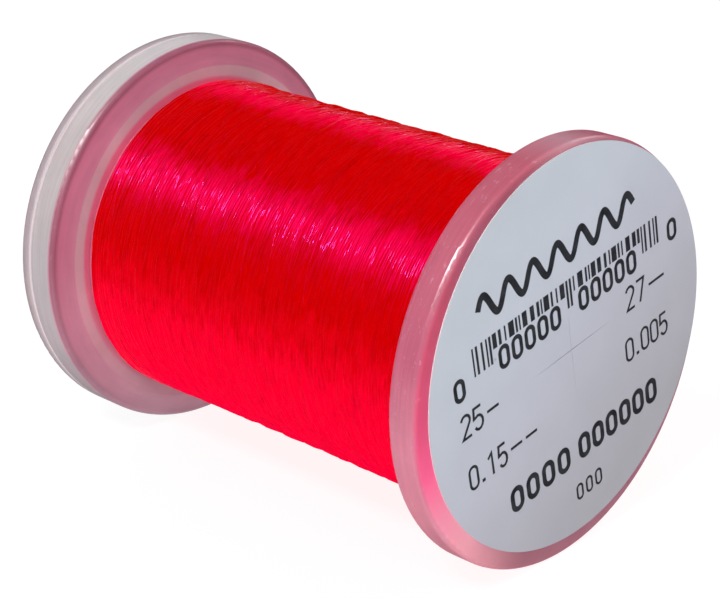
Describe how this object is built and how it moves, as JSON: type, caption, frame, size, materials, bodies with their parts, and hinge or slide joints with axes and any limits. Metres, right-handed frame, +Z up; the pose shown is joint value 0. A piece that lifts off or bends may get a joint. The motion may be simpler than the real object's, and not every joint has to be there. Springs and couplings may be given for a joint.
{
  "type": "fishing line spool",
  "caption": "Small translucent plastic spool with two round flanges, a hub bore, a snap disc for the line's end, a paper end label and a pink-red mono winding.",
  "frame": {"origin": "on the spool's axis, half way between the two outer ends", "axes": "+X along the spool's axis towards the labelled end, which is the bore's blind end; -X is the way a peg leaves the bore; +Z up, with the spool lying on its flanges"},
  "size_m": [0.0342, 0.026, 0.026],
  "materials": {
    "frosted_plastic": "frosted translucent polypropylene, faintly tinted by the line",
    "snap_disc_plastic": "frosted translucent polypropylene, milky white",
    "label_paper": "smooth light grey printed paper",
    "mono_line": "clear glossy nylon mono, fluorescent pink-red"
  },
  "bodies": {
    "spool": {"front_flange": "frosted_plastic", "core": "frosted_plastic", "rear_flange": "frosted_plastic", "front_label": "label_paper", "line_winding": "mono_line", "line_start": "mono_line", "line_tail": "mono_line"},
    "snap_disc": {"snap_disc": "snap_disc_plastic"}
  },
  "joints": [
    {"name": "snap_disc_slide", "type": "slide", "parent": "spool", "child": "snap_disc", "axis": [-1, 0, 0], "range_m": [0, 0.002]}
  ]
}
